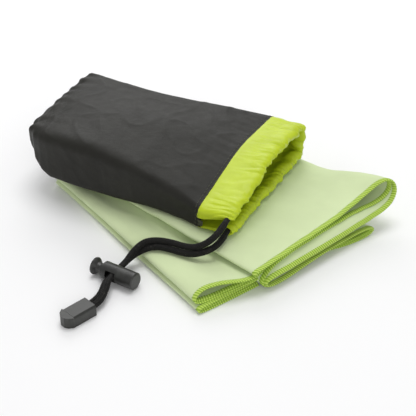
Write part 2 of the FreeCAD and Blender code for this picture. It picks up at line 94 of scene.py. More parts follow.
class Nodes:
    """A material being built: short calls for its nodes and links."""

    def __init__(self, name):
        self.material = bpy.data.materials.new(name)
        self.material.use_nodes = True
        self.tree = self.material.node_tree
        self.shader = self.tree.nodes["Principled BSDF"]

    def add(self, kind, **values):
        node = self.tree.nodes.new(kind)
        for key, value in values.items():
            if key in node.inputs:
                node.inputs[key].default_value = value
            else:
                setattr(node, key, value)
        return node

    def link(self, a, b):
        self.tree.links.new(a, b)

    def where(self, kind="Object", scale=(1, 1, 1)):
        """Texture coordinates, scaled."""
        source = self.add("ShaderNodeTexCoord")
        mapping = self.add("ShaderNodeMapping")
        mapping.inputs["Scale"].default_value = scale
        self.link(source.outputs[kind], mapping.inputs["Vector"])
        return mapping.outputs["Vector"]

    def noise(self, where, scale, detail=3.0, rough=0.55):
        node = self.add("ShaderNodeTexNoise", Scale=scale, Detail=detail, Roughness=rough)
        self.link(where, node.inputs["Vector"])
        return node.outputs["Fac"]

    def wave(self, where, scale, direction, distortion=0.0):
        node = self.add("ShaderNodeTexWave", Scale=scale, Distortion=distortion)
        node.bands_direction = direction
        self.link(where, node.inputs["Vector"])
        return node.outputs["Fac"]

    def math(self, kind, a, b):
        node = self.add("ShaderNodeMath", operation=kind)
        for index, value in enumerate((a, b)):
            if isinstance(value, (int, float)):
                node.inputs[index].default_value = value
            else:
                self.link(value, node.inputs[index])
        return node.outputs[0]

    def mix(self, a, b, share):
        """The first texture and a share of the second."""
        return self.math("ADD", self.math("MULTIPLY", a, 1 - share), self.math("MULTIPLY", b, share))

    def ramp(self, fac, stops):
        node = self.add("ShaderNodeValToRGB")
        ramp = node.color_ramp
        while len(ramp.elements) < len(stops):
            ramp.elements.new(0.5)
        for element, (place, colour) in zip(ramp.elements, stops):
            element.position = place
            element.color = (*colour, 1)
        self.link(fac, node.inputs["Fac"])
        return node.outputs["Color"]

    def colour(self, output):
        self.link(output, self.shader.inputs["Base Color"])

    def roughness(self, fac, low, high):
        node = self.add("ShaderNodeMapRange")
        node.inputs["To Min"].default_value = low
        node.inputs["To Max"].default_value = high
        self.link(fac, node.inputs["Value"])
        self.link(node.outputs["Result"], self.shader.inputs["Roughness"])

    def bump(self, height, strength, distance, after=None):
        node = self.add("ShaderNodeBump", Strength=strength, Distance=distance)
        self.link(height, node.inputs["Height"])
        if after is not None:
            self.link(after, node.inputs["Normal"])
        self.link(node.outputs["Normal"], self.shader.inputs["Normal"])
        return node.outputs["Normal"]

    def plain(self, **values):
        """Numbers that are the same all over the surface."""
        for key, value in values.items():
            self.shader.inputs[key.replace("_", " ")].default_value = value


WAVE_UNIT = 2 * math.pi / 20  # a wave texture's scale times its wavelength
OVERLOCK_STITCH = 1.5  # millimetres from one slanted thread of the hem to the next


def shades(base, spread):
    """Three stops of one colour, darker to lighter."""
    base = np.array(base)
    return [(0.25, base * (1 - spread)), (0.5, base), (0.78, np.minimum(base * (1 + spread), 1))]


def towel_material():
    """Suede-like microfibre: a fine nap whose light and dark brushing is painted sheen and shade,
    lighter on the bump's rises and darker in its dips.
    """
    m = Nodes("towel_microfibre")
    at = m.where()
    nap_and_shade = m.noise(at, 38, 4.0)
    # painted sheen and shade: the colour follows the nap's bump, lighter on its rises, darker in its
    # dips
    m.colour(m.ramp(nap_and_shade, shades((0.63, 0.73, 0.43), 0.05)))
    nap = m.noise(at, 2600, 2.0, 0.7)
    m.roughness(nap, 0.86, 1.0)
    first = m.bump(nap_and_shade, 0.12, 0.0012)
    m.bump(nap, 0.35, 0.00016, first)
    m.plain(Sheen_Weight=0.35, Sheen_Roughness=0.45, Specular_IOR_Level=0.15)
    m.shader.inputs["Sheen Tint"].default_value = (0.93, 1.0, 0.85, 1)
    return m.material


def thread_material(name, base):
    """Twisted sewing thread, with painted shade in the grooves of its twist and mottle and painted
    light on their ridges.
    """
    m = Nodes(name)
    at = m.where()
    twist = m.wave(at, 900, "DIAGONAL", 1.5)
    mottled = m.noise(at, 420, 2.0)
    mixed = m.mix(twist, mottled, 0.45)
    # painted shade and light: the colour follows the bump, darker in the twist's grooves, lighter on
    # its ridges
    m.colour(m.ramp(mixed, shades(base, 0.3)))
    m.roughness(mottled, 0.6, 0.85)
    m.bump(mixed, 0.5, 0.00012)
    m.plain(Sheen_Weight=0.2)
    return m.material


def overlock_material():
    """Bulky overlock thread: its own green, with painted shade darkening the gaps between the slanted
    loops and painted light on their pale crests.
    """
    m = Nodes("overlock_thread")
    flat = m.where("UV")
    loops = m.wave(flat, WAVE_UNIT / (OVERLOCK_STITCH * MM), "X")
    mottled = m.noise(m.where(), 420, 2.0)
    mixed = m.mix(loops, mottled, 0.25)
    # painted shade and light: the dark stop fills the gaps between the modelled loops, the pale stop
    # their crests; the middle stop is the thread's own green
    stops = [(0.2, (0.23, 0.39, 0.018)), (0.5, (0.39, 0.58, 0.032)), (0.8, (0.56, 0.73, 0.15))]
    m.colour(m.ramp(mixed, stops))
    m.roughness(mottled, 0.6, 0.85)
    m.bump(mottled, 0.4, 0.00012)
    m.plain(Sheen_Weight=0.2)
    return m.material


def nylon_material(name, base, spread, gloss, rough):
    """Plain-woven nylon: a fine square weave in the surface's own directions, soft creases, with
    painted shade darkening the creases' hollows and painted light on their crests.
    """
    m = Nodes(name)
    flat = m.where("UV")
    weave = m.math("MULTIPLY", m.wave(flat, 900, "X"), m.wave(flat, 900, "Y"))
    at = m.where()
    creased = m.noise(at, 55, 5.0, 0.62)
    fine = m.noise(at, 190, 3.0, 0.6)
    # painted shade and light: the colour follows the creases' bump, darker in its hollows and lighter
    # on its crests
    m.colour(m.ramp(creased, shades(base, spread)))
    m.roughness(fine, rough - 0.07, rough + 0.1)
    first = m.bump(creased, 0.28, 0.0022)
    second = m.bump(fine, 0.22, 0.0006, first)
    m.bump(weave, 0.25, 0.00007, second)
    m.plain(Specular_IOR_Level=gloss)
    return m.material


def braid_material():
    """Black polyester braid: a few grey flecks, partly its own random flecks and partly painted sheen
    on the fibres' rises, with painted shade in their dips.
    """
    m = Nodes("cord_braid")
    at = m.where()
    fibres = m.noise(at, 1500, 3.0, 0.7)
    flecks = m.noise(at, 620, 2.0)
    # painted sheen and shade: the grey shows only where the fibres' bump rises, and the fibres' dips
    # are darkest
    mixed = m.math("MULTIPLY", fibres, flecks)
    stops = [
        (0.2, (0.004, 0.004, 0.0035)), (0.36, (0.009, 0.008, 0.0065)),
        (0.52, (0.10, 0.095, 0.08)),
    ]
    m.colour(m.ramp(mixed, stops))
    m.roughness(fibres, 0.55, 0.85)
    m.bump(fibres, 0.5, 0.00012)
    m.plain(Sheen_Weight=0.04, Specular_IOR_Level=0.25)
    return m.material


def plastic_material():
    """Moulded charcoal plastic with a fine spark-eroded grain, a little lighter and rougher in soft
    random patches.
    """
    m = Nodes("lock_plastic")
    at = m.where()
    grain = m.noise(at, 1900, 2.0, 0.6)
    soft_patches = m.noise(at, 160, 4.0, 0.6)
    stops = [
        (0.3, (0.016, 0.0165, 0.0145)), (0.55, (0.024, 0.025, 0.022)),
        (0.75, (0.04, 0.042, 0.037)),
    ]
    # lighter and rougher in soft random patches, not tied to the shape
    m.colour(m.ramp(soft_patches, stops))
    m.roughness(soft_patches, 0.3, 0.48)
    m.bump(grain, 0.2, 0.00008)
    m.plain(Specular_IOR_Level=0.55)
    return m.material


def steel_material():
    """Drawn spring wire."""
    m = Nodes("spring_steel")
    at = m.where("Object", (1, 6, 6))
    drawn = m.noise(at, 700, 2.0)
    m.colour(m.ramp(drawn, shades((0.55, 0.55, 0.56), 0.12)))
    m.roughness(drawn, 0.25, 0.42)
    m.plain(Metallic=1.0)
    return m.material


TOWEL = towel_material()
OVERLOCK = overlock_material()
# the third number of each: how far the painted crease shade and light spread the colour
NYLON = nylon_material("pouch_nylon", (0.021, 0.0205, 0.0172), 0.2, 0.16, 0.48)
LIME = nylon_material("collar_nylon", (0.50, 0.62, 0.016), 0.08, 0.4, 0.38)
DARK_THREAD = thread_material("dark_thread", (0.045, 0.05, 0.02))
BRAID = braid_material()
PLASTIC = plastic_material()
STEEL = steel_material()

# ---- meshes ----


def grid_faces(rows, columns, wrap_rows=False, wrap_columns=False, first=0):
    """Quads of a grid of points numbered row by row."""
    r = np.arange(rows if wrap_rows else rows - 1)
    c = np.arange(columns if wrap_columns else columns - 1)
    r, c = np.meshgrid(r, c, indexing="ij")
    r2, c2 = (r + 1) % rows, (c + 1) % columns
    quads = np.stack([r * columns + c, r * columns + c2, r2 * columns + c2, r2 * columns + c], -1)
    return quads.reshape(-1, 4) + first


def tube_faces(rings, sides, first=0):
    """Faces of a closed tube of points numbered ring by ring: its wall and both ends."""
    wall = grid_faces(rings, sides, wrap_columns=True, first=first).tolist()
    last = first + (rings - 1) * sides
    return wall + [list(range(first, first + sides))[::-1], list(range(last, last + sides))]


def mesh_from(name, points, faces, material, uv=None):
    """A mesh object from points in metres, with its surface coordinates if it has them."""
    data = bpy.data.meshes.new(name)
    points = np.asarray(points).reshape(-1, 3).tolist()
    data.from_pydata(points, [], [list(map(int, face)) for face in faces])
    if uv is not None:
        layer = data.uv_layers.new(name="UVMap")
        corner = np.zeros(len(data.loops), np.int32)
        data.loops.foreach_get("vertex_index", corner)
        layer.data.foreach_set("uv", np.asarray(uv, float).reshape(-1, 2)[corner].ravel())
    data.polygons.foreach_set("use_smooth", [True] * len(data.polygons))
    data.update()
    return link_object(name, data, material)


def outward(piece):
    """Turns every face to look outwards."""
    made = bmesh.new()
    made.from_mesh(piece.data)
    bmesh.ops.recalc_face_normals(made, faces=made.faces)
    made.to_mesh(piece.data)
    made.free()


def thicken(piece, thickness, offset=0.0):
    """Gives a sheet its thickness, in its own mesh."""
    change = piece.modifiers.new("thickness", "SOLIDIFY")
    change.thickness = thickness
    change.offset = offset
    change.use_rim = True
    bpy.context.view_layer.update()
    graph = bpy.context.evaluated_depsgraph_get()
    data = bpy.data.meshes.new_from_object(piece.evaluated_get(graph))
    piece.modifiers.clear()
    piece.data = data


def finish_piece(piece, body, node_name):
    """The piece moves with its body, and stands for its CAD node in its own finish."""
    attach(piece, body)
    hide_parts(node_name)


def uneven(x, y, z):
    """Smooth variation over space, from -1 to 1."""
    return noise.noise((x, y, z))


def unit(v):
    """Vectors at length one."""
    return v / np.maximum(np.linalg.norm(v, axis=-1, keepdims=True), 1e-9)


def run_along(points):
    """How far along a line each of its points is."""
    steps = np.linalg.norm(np.diff(points, axis=0), axis=1)
    return np.concatenate([[0], np.cumsum(steps)])


def between(at, run, points):
    """The values of a line at one or more distances along it."""
    return np.stack([np.interp(at, run, column) for column in np.asarray(points).T], -1)


def tube_along(points, radius, sides, normal):
    """Points of a round tube: rings along a line, about a guide direction."""
    points = np.asarray(points, float)
    tangent = unit(np.gradient(points, axis=0))
    side = unit(np.cross(tangent, normal))
    up = np.cross(side, tangent)
    angle = np.linspace(0, 2 * math.pi, sides, endpoint=False)
    across = np.cos(angle)[None, :, None] * side[:, None]
    ring = across + np.sin(angle)[None, :, None] * up[:, None]
    return points[:, None] + ring * np.asarray(radius).reshape(-1, 1, 1)


# ---- the drawcord: one cord, shown as its two tails ----

CORD_DIAMETER = 0.0034

UPPER_ROUTE = (
    (34.5, -46.0, 27.0), (34.3, -53.2, 24.9), (30.2, -58.9, 20.9), (23.8, -60.6, 17.0),
    (16.3, -59.7, 15.0), (8.3, -59.5, 14.8), (0.0, -61.2, 14.7), (-6.6, -64.9, 13.6),
    (-9.8, -71.8, 9.8), (-10.2, -79.3, 6.6), (-11.1, -94.9, 6.4), (-8.2, -102.3, 5.4),
    (-6.0, -111.8, 3.7), (-8.8, -120.3, 3.6),
)
LOWER_ROUTE = (
    (34.5, -46.0, 19.0), (35.0, -52.6, 18.6), (31.8, -59.2, 16.9), (24.7, -62.7, 14.1),
    (16.5, -62.3, 12.3), (8.5, -62.1, 12.1), (1.0, -63.4, 12.1), (-5.0, -66.1, 10.2),
    (-11.0, -70.6, 6.0), (-12.6, -78.7, 4.1), (-13.6, -95.0, 3.9), (-10.6, -102.7, 2.5),
    (-9.6, -111.6, 2.9), (-12.0, -119.3, 2.9),
)


def add_cord(name, route):
    """One tail as a smooth curve through its route."""
    data = bpy.data.curves.new(name, "CURVE")
    data.dimensions = "3D"
    spline = data.splines.new("NURBS")
    spline.points.add(len(route) - 1)
    for point, place in zip(spline.points, placed(route)):
        point.co = (*place, 1)
    spline.order_u = 3
    spline.use_endpoint_u = True
    spline.resolution_u = 8
    data.bevel_depth = CORD_DIAMETER / 2
    data.bevel_resolution = 3
    data.use_fill_caps = True
    return link_object(name, data, BRAID)


def cord_line(cord):
    """The points of a cord's own centreline, from its curve without its thickness."""
    bare = cord.data.copy()
    bare.bevel_depth = 0
    bare.use_fill_caps = False
    bare.splines[0].resolution_u = 24
    stand = link_object("bare_line", bare)
    bpy.context.view_layer.update()
    graph = bpy.context.evaluated_depsgraph_get()
    data = bpy.data.meshes.new_from_object(stand.evaluated_get(graph))
    points = np.array([v.co for v in data.vertices])
    bpy.data.objects.remove(stand)
    return points


def spaced(points, step):
    """The same line at an even spacing, with its length."""
    gaps = np.linalg.norm(np.diff(points, axis=0), axis=1)
    points = points[np.concatenate([[True], gaps > 1e-7])]
    run = run_along(points)
    at = np.linspace(0, run[-1], max(int(run[-1] / step), 8))
    return between(at, run, points), run[-1]


BRAID_STEP = 0.0004  # along the cord, from one ring of a yarn's points to the next
BRAID_PITCH, YARNS_EACH_WAY, YARN_SIDES = 0.0105, 8, 6
YARN_HALF_WIDTH, YARN_HALF_HEIGHT = 0.00040, 0.00019
YARN_SINK, YARN_CROSSING = 0.00004, 0.00013  # into the cord, and over or under each other
LOCK_REACH = 0.0035  # how far past the lock the braid is squeezed
LOCK_EASE = 10  # rings over which the squeeze comes and goes
YARN_SQUEEZE = 0.00034  # how much deeper the yarns lie in the lock


def add_braid(name, cord):
    """The braid's sixteen plaited yarns, over and under each other round the cord."""
    line, length = spaced(cord_line(cord), BRAID_STEP)
    tangent = unit(np.gradient(line, axis=0))
    side = np.zeros_like(line)
    side[0] = unit(np.cross(tangent[0], (0.2, 0.3, 1.0)))
    for i in range(1, len(line)):
        side[i] = unit(side[i - 1] - tangent[i] * side[i - 1].dot(tangent[i]))
    up = np.cross(tangent, side)
    at = np.linspace(0, length, len(line))
    lock_low, lock_high = (np.array(corner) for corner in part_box("lock_barrel"))
    held = np.all((line > lock_low - LOCK_REACH) & (line < lock_high + LOCK_REACH), axis=1)
    held = np.convolve(held.astype(float), np.ones(LOCK_EASE) / LOCK_EASE, mode="same")
    phase = 2 * math.pi * at / BRAID_PITCH
    section = np.linspace(0, 2 * math.pi, YARN_SIDES, endpoint=False)
    wide = np.cos(section)[None, :, None] * YARN_HALF_WIDTH
    tall = np.sin(section)[None, :, None] * YARN_HALF_HEIGHT
    points, faces = [], []
    for turn in (1, -1):
        for yarn in range(YARNS_EACH_WAY):
            angle = turn * phase + 2 * math.pi * yarn / YARNS_EACH_WAY
            over = np.cos(YARNS_EACH_WAY * phase + (0 if turn > 0 else math.pi))
            radius = CORD_DIAMETER / 2 - YARN_SINK + YARN_CROSSING * over - YARN_SQUEEZE * held
            out = np.cos(angle)[:, None] * side + np.sin(angle)[:, None] * up
            middle = line + out * radius[:, None]
            across = np.cross(unit(np.gradient(middle, axis=0)), out)
            faces += tube_faces(len(line), YARN_SIDES, first=len(points) * len(line) * YARN_SIDES)
            rings = middle[:, None] + across[:, None] * wide + out[:, None] * tall
            points.append(rings.reshape(-1, 3))
    return mesh_from(name, np.concatenate(points), faces, BRAID)


upper_tail = add_cord("drawcord_upper", UPPER_ROUTE)
lower_tail = add_cord("drawcord_lower", LOWER_ROUTE)
upper_braid = add_braid("drawcord_upper_braid", upper_tail)
lower_braid = add_braid("drawcord_lower_braid", lower_tail)

finish_piece(upper_tail, "pouch", "drawcord_upper_tail")
finish_piece(lower_tail, "pouch", "drawcord_lower_tail")
for braid in (upper_braid, lower_braid):
    outward(braid)
    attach(braid, "pouch")

KNOT_STRAND, KNOT_STEPS, KNOT_SIDES = 0.0011, 180, 12


def add_knot():
    """The stopper knot in the cord end: the cord wound over itself into a ball."""
    low_corner, high_corner = (np.array(corner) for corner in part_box("cord_end_knot"))
    room = (high_corner - low_corner) / 2 - KNOT_STRAND
    turn = np.linspace(0, 2 * math.pi, KNOT_STEPS + 1)[:, None]
    wide = (2 + np.cos(3 * turn)) / 3
    line = (low_corner + high_corner) / 2 + room * np.concatenate(
        [wide * np.cos(2 * turn), wide * np.sin(2 * turn), np.sin(3 * turn)], 1
    )
    rings = tube_along(line, KNOT_STRAND, KNOT_SIDES, (0, 0, 1))[:-1]
    faces = grid_faces(KNOT_STEPS, KNOT_SIDES, wrap_rows=True, wrap_columns=True)
    return mesh_from("drawcord_knot", rings.reshape(-1, 3), faces, BRAID)


knot = add_knot()
outward(knot)
finish_piece(knot, "pouch", "cord_end_knot")


def make_spring():
    """The lock's spring: its CAD coil copied in steel, on a mesh of its own. The real spring shortens
    towards the barrel's closed end as the button goes in.
    """
    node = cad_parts["lock_spring"]
    data = node.data.copy()
    data.materials.clear()
    spring = link_object("lock_spring_coil", data, STEEL)
    spring.matrix_world = node.matrix_world
    bpy.context.view_layer.update()
    finish_piece(spring, "cord_lock", "lock_spring")
    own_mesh(spring)
    return spring


lock_spring = make_spring()
FITTING_NAMES = ("lock_barrel", "lock_plunger", "cord_end_base", "cord_end_lid")

# ---- the towel: one cloth, folded in half, pleated and fanned ----

TOWEL_DEPTH = 156.0
PLY_THICKNESS = 0.64
PLY_APART = 0.46  # half the distance between the two plies of the folded cloth

def high(run, front, third, back, forward, apart=0.0, swell=0.0, drop=0.0):
    """A control point in the upper stack's frame."""
    return (1.0, 0.0, run, front, third, back, forward, apart, swell, drop)


def low(run, front, third, back, forward, apart=0.0, swell=0.0, drop=0.0):
    """A control point in the lower stack's frame."""
    return (0.0, run, 0.0, front, third, back, forward, apart, swell, drop)


# Control points of the pleats, seen from the open front edge.  Each has the share of the
# upper stack's frame, its run in the lower and the upper stack's frame, its height at the
# front, a third of the way back and at the back crease, how far its front edge stands
# forward, how far the outer ply stands out beyond the inner one, and how much the cloth
# swells just behind its edge and drops at the edge itself.  Millimetres.
PLEATS = (
    # the lower stack: the end on the floor, hidden under the upper stack
    low(40, 1.1, 1.0, 1.0, 0.2), low(33, 1.1, 1.0, 1.0, 0.4), low(20, 1.1, 1.0, 1.0, 0.6),
    low(8, 1.1, 1.0, 1.0, 0.6),
    # its lowest left fold, and the two layers above
    low(1.4, 1.1, 1.0, 1.0, 0.4), low(-0.9, 2.1, 2.05, 2.0, 0.2), low(1.4, 3.1, 3.1, 3.0, 0),
    low(8, 3.1, 3.1, 3.0, 0), low(20, 3.4, 3.1, 3.0, 0.2), low(32, 4.2, 3.2, 3.0, 0.4),
    low(38, 5.1, 3.5, 3.2, 0.8), low(40.2, 6.2, 4.4, 4.0, 1.2), low(38, 7.3, 5.3, 4.8, 1.4),
    low(33, 7.0, 5.4, 4.9, 1.0), low(24, 5.8, 5.2, 4.9, 0), low(13, 5.0, 5.1, 4.9, -0.8),
    low(6, 4.8, 5.1, 4.9, -1.8),
    # the left teardrop fold and the creased top layer
    low(1.0, 5.0, 5.5, 5.1, -2.8), low(-0.6, 6.7, 6.9, 6.2, -3.6), low(2.0, 9.0, 8.3, 7.2, -4.4),
    low(7, 10.6, 8.9, 7.8, -4.4), low(14, 11.4, 8.5, 7.8, -2.4), low(23, 10.9, 6.9, 7.4, 1.2),
    low(32, 9.9, 7.0, 7.6, 3.6),
    # in under the upper stack's top layer, and back
    (0.5, 38, 4.5, 9.9, 8.8, 8.4, 0.6, 0, 0, 0),
    high(15, 11.0, 10.6, 9.8, -5.0), high(30, 11.4, 11.0, 10.0, -14), high(48, 12.0, 11.0, 10.0, -16),
    high(56, 12.9, 11.8, 10.9, -16), high(48, 13.8, 12.7, 11.8, -16), high(30, 13.4, 12.7, 11.8, -14),
    high(10, 12.8, 12.6, 11.7, -5),
    # the left fold of the top layer
    high(1.8, 12.7, 12.6, 11.6, -1.2), high(0.2, 13.7, 13.6, 12.6, -0.4),
    high(1.8, 14.7, 14.6, 13.5, 0),
    # the top layer, rising to the open loop
    high(8, 14.9, 14.7, 13.6, -0.2), high(20, 15.3, 14.7, 13.7, -0.8),
    high(34, 15.9, 14.7, 13.7, -1.4), high(54, 16.8, 14.7, 13.7, -2.6),
    high(74, 18.2, 14.7, 13.7, -3.6), high(90, 21.4, 14.8, 13.8, -4.6),
    high(102, 26.2, 15.2, 13.9, -4.4), high(109, 28.6, 14.8, 13.6, -1.8),
    high(112.8, 26.0, 13.4, 12.6, 0.6, 1.5), high(111.6, 20.4, 11.8, 11.2, 2.4, 3.0),
    high(106, 16.2, 10.2, 9.8, 2.8, 4.5, 1.0), high(98, 13.2, 9.2, 8.8, 2.0, 5.0, 2.4),
    # the layer under it, its outer ply standing forward
    high(88, 11.2, 8.8, 8.4, 1.0, 5.0, 4.2), high(70, 9.8, 8.6, 8.2, 0.4, 5.0, 5.2),
    high(50, 8.9, 8.4, 8.0, 0.4, 5.0, 5.0), high(32, 8.7, 8.2, 7.8, 0.8, 4.6, 4.4),
    high(20, 8.8, 7.8, 7.4, 1.2, 4.5, 3.6), high(12, 8.8, 7.0, 6.8, 1.4, 3.0, 2.2),
    # the small teardrop fold at the front left of the upper stack
    high(6.2, 7.2, 5.6, 5.4, 1.4, 1.2, 0.6), high(5.6, 4.4, 4.2, 3.9, 1.6, 0.6),
    high(9.5, 2.9, 3.2, 3.1, 2.0, 0, 0, 1.3), high(18, 2.9, 3.2, 3.1, 2.4, 0, 0, 1.7),
    high(34, 3.4, 3.4, 3.1, 2.0, 0, 0, 1.5), high(56, 4.4, 3.8, 3.2, 1.8, 0, 0, 0.4),
    high(76, 5.4, 4.0, 3.3, 3.4), high(88, 5.9, 4.0, 3.3, 4.6),
    # the small right fold, and the lowest layer
    high(93.5, 3.6, 2.6, 2.2, 4.8), high(89, 1.2, 1.1, 1.0, 4.6),
    high(80, 1.1, 1.0, 1.0, 3.8), high(70, 1.1, 1.0, 1.0, 2.0), high(58, 1.1, 1.0, 1.0, -2),
    high(40, 1.0, 1.0, 1.0, -9), high(26, 1.0, 1.0, 1.0, -10), high(16, 1.0, 1.0, 1.0, -10),
)
SWELL_BACK, DROP_BACK = 8.0, 3.0  # how far behind the edge a swell peaks and a drop fades

THIRD = 0.36  # the share of the depth at which a pleat has its second height
FRONT = 0.3  # the share of the depth over which the front edges' offsets fade
NARROWING = {"low": 0.7, "high": 0.06}  # the share of its width that a stack loses by its back
FOLD_COST = 3.2  # how many millimetres of run a radian of turn counts as, for the columns
COLUMN_SPACING = 1.5
DEPTH_STEPS = 64

# Each stack's front left corner (x, y), then the way its depth runs and the way its front
# edge runs, in degrees from +X.
CORNERS = {"low": (43.0, -91.0, 153.8, 65.0), "high": (62.0, -63.0, 163.0, 69.5)}


def heading(angle):
    """The way that lies at an angle from +X, in degrees."""
    return np.array([math.cos(math.radians(angle)), math.sin(math.radians(angle)), 0.0])


def spline_weights(count, at):
    """Uniform cubic B-spline weights of open control points, ends held."""
    last = count - 1
    weights = np.zeros((len(at), count))
    for row, place in enumerate(at):
        cell = min(int(place), last - 1)
        f = place - cell
        parts = ((1 - f) ** 3, 3 * f**3 - 6 * f**2 + 4, -3 * f**3 + 3 * f**2 + 3 * f + 1, f**3)
        for index, part in enumerate(parts, cell - 1):
            inside = min(max(index, 0), last)
            weights[row, inside] += part / 6
            if index != inside:
                weights[row, inside] += part / 6
                weights[row, inside + (1 if index < 0 else -1)] -= part / 6
    return weights


def smooth_share(t):
    """0 before 0, 1 after 1 and a smooth rise between."""
    t = np.clip(t, 0, 1)
    return t * t * (3 - 2 * t)


def pleat_controls(t, side=0):
    """The control points' places at a share of the depth, in layout millimetres."""
    share, run_low, run_high, front, third, back, forward, apart, swell, drop = np.array(PLEATS).T
    if t < THIRD:
        height = front + (third - front) * smooth_share(t / THIRD)
    else:
        height = third + (back - third) * smooth_share((t - THIRD) / (1 - THIRD))
    behind = t * TOWEL_DEPTH
    swell_at = (behind + (1 - side) * (apart + 1) / 2) / SWELL_BACK
    height = height + swell * swell_at * np.exp(1 - swell_at) - drop * math.exp(-behind / DROP_BACK)
    reach = (forward + side * (apart + 1) / 2) * (1 - smooth_share(t / FRONT))
    places = []
    for name, run in (("low", run_low), ("high", run_high)):
        x, y, fold, face = CORNERS[name]
        base = np.array([x, y, 0]) + heading(fold) * TOWEL_DEPTH * t
        along, out = heading(face), heading(face - 90)
        run = run * (1 - NARROWING[name] * t)
        places.append(base + along * run[:, None] + out * reach[:, None])
    points = places[0] * (1 - share)[:, None] + places[1] * share[:, None]
    points[:, 2] = height
    return points


def pleat_samples():
    """Where along the pleats to place columns: close together round the folds."""
    count = len(PLEATS)
    fine = np.linspace(0, count - 1, 4000)
    line = spline_weights(count, fine) @ pleat_controls(0.0)
    step = np.linalg.norm(np.diff(line, axis=0), axis=1)
    tangent = unit(np.diff(line, axis=0))
    turn = np.arccos(np.clip((tangent[1:] * tangent[:-1]).sum(1), -1, 1))
    cost = step.copy()
    cost[1:] += turn * FOLD_COST
    total = np.concatenate([[0], np.cumsum(cost)])
    columns = int(total[-1] / COLUMN_SPACING)
    return np.interp(np.linspace(0, total[-1], columns), total, fine)


FOLD_WAY = (0.375, 0.927)  # the way across the lower stack's wrinkles


def ripple(points):
    """Soft waves in the laid cloth, the same in every layer so that none meet."""
    moved = points.copy()
    for k, (x, y, z) in enumerate(points):
        broad = uneven(x * 0.035 + 3.1, y * 0.05 - 1.7, 0.4)
        small = uneven(x * 0.09 - 2.0, y * 0.14 + 0.6, 2.2)
        left = smooth_share((35 - x) / 50)
        beside = FOLD_WAY[0] * x + FOLD_WAY[1] * y
        along = -FOLD_WAY[1] * x + FOLD_WAY[0] * y
        folds = uneven(along * 0.026, beside * 0.11, 5.2)
        wave = 0.8 * broad + (0.45 + 0.5 * left) * small + 2.6 * left * folds
        moved[k, 2] = z + wave * min(z / 14, 1.2) * 0.75
        moved[k, 0] += 0.5 * uneven(x * 0.03, y * 0.03, 7.3)
        moved[k, 1] += 0.5 * uneven(x * 0.03, y * 0.03, 9.1)
    return moved


def towel_rows():
    """The cloth's grid: the upper ply from front to back, the crease, the lower ply back."""
    weights = spline_weights(len(PLEATS), pleat_samples())
    shares = np.linspace(0, 1, DEPTH_STEPS) ** 1.45  # closer together towards the front
    back = heading(0.5 * (CORNERS["low"][2] + CORNERS["high"][2]))
    surfaces = {}
    for side in (1, -1):
        rows = []
        for t in shares:
            line = weights @ pleat_controls(t, side)
            along = unit(np.gradient(line, axis=0))
            normal = unit(np.cross(along, back))
            rows.append(line + normal * PLY_APART * side)
        surfaces[side] = rows
    crease = []
    last_up, last_down = surfaces[1][-1], surfaces[-1][-1]
    for angle in (0.25, 0.5, 0.75):
        mix = 0.5 - 0.5 * math.cos(math.pi * angle)
        bulge = back * PLY_APART * math.sin(math.pi * angle) * 1.6
        crease.append(last_up * (1 - mix) + last_down * mix + bulge)
    return np.array(surfaces[1] + crease + surfaces[-1][::-1])


def make_towel():
    """The towel's one sheet, thickened, and the rows of its middle surface."""
    rows = towel_rows()
    count, columns = rows.shape[:2]
    flat = ripple(rows.reshape(-1, 3))
    rows = flat.reshape(count, columns, 3)
    uv = np.stack(np.meshgrid(run_along(rows[0]), run_along(rows[:, columns // 2])), -1) * MM
    piece = mesh_from("towel_cloth", placed(flat), grid_faces(count, columns), TOWEL, uv)
    thicken(piece, PLY_THICKNESS * MM)
    outward(piece)
    return piece, rows


def along_edge(rows, step):
    """A ply's rows near its edge, resampled at even steps along the edge."""
    run = run_along(rows[0])
    at = np.arange(0, run[-1], step)
    return np.array([between(at, run, row) for row in rows]), at


def hem_frames(near_rows, depths):
    """For each depth into the cloth, its points and the way inwards, along the edge."""
    reach = np.linalg.norm(np.diff(near_rows, axis=0), axis=2)
    reach = np.concatenate([np.zeros((1, reach.shape[1])), np.cumsum(reach, axis=0)])
    edge_way = unit(near_rows[1] - near_rows[0])
    frames = {}
    for depth in depths:
        if depth <= 0:
            frames[depth] = (near_rows[0] + edge_way * depth, edge_way)
            continue
        inner = np.clip((reach < depth).sum(0), 1, len(near_rows) - 1)
        pick = np.arange(near_rows.shape[1])
        start, end = near_rows[inner - 1, pick], near_rows[inner, pick]
        share = (depth - reach[inner - 1, pick]) / (reach[inner, pick] - reach[inner - 1, pick])
        frames[depth] = (start + (end - start) * share[:, None], unit(end - start))
    return frames


# The hem's section round the edge of a ply: depth into the cloth and height, in millimetres.
HEM_UPPER = ((2.5, 0.34), (2.2, 0.48), (1.6, 0.54), (0.9, 0.56), (0.2, 0.50), (-0.32, 0.22))
HEM_SECTION = HEM_UPPER + tuple((depth, -tall) for depth, tall in HEM_UPPER[::-1])
HEM_ROWS = 14  # rows of the cloth that the hem may reach over
HEM_SLANT = 0.22  # stitches that a thread leans over for each millimetre of depth


